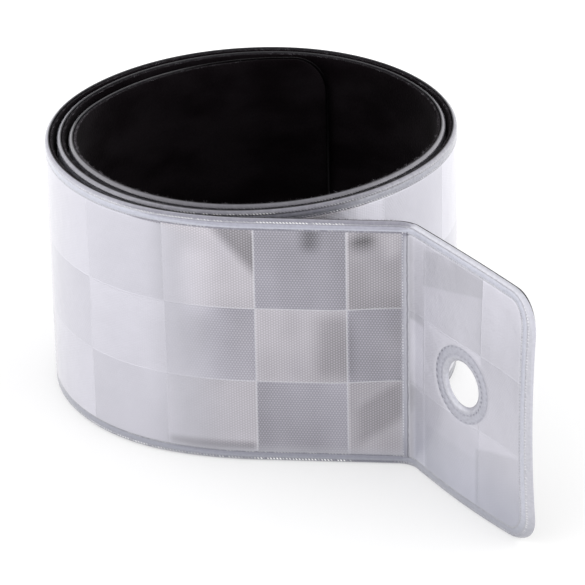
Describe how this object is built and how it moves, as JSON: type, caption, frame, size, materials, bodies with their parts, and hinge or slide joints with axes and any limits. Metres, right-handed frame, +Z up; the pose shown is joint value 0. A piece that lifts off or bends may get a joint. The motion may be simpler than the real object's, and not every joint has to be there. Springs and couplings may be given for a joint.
{
  "type": "reflective snap band",
  "caption": "Rolled-up reflective snap band: clear prismatic film outside, black velvet inside, with a rounded tab that bends out of the roll and has a round hole.",
  "frame": {"origin": "middle of the whole box's bottom face, on the surface that the band stands on", "axes": "+Z up along the roll's axis, +X towards the tab's side, -Y towards the front"},
  "size_m": [0.0526, 0.062, 0.03],
  "materials": {
    "film": "clear prismatic film, blue-grey, glossy",
    "velvet": "black velvet pile"
  },
  "bodies": {
    "root": {"reflective_film": "film", "velvet_backing": "velvet"}
  },
  "joints": []
}
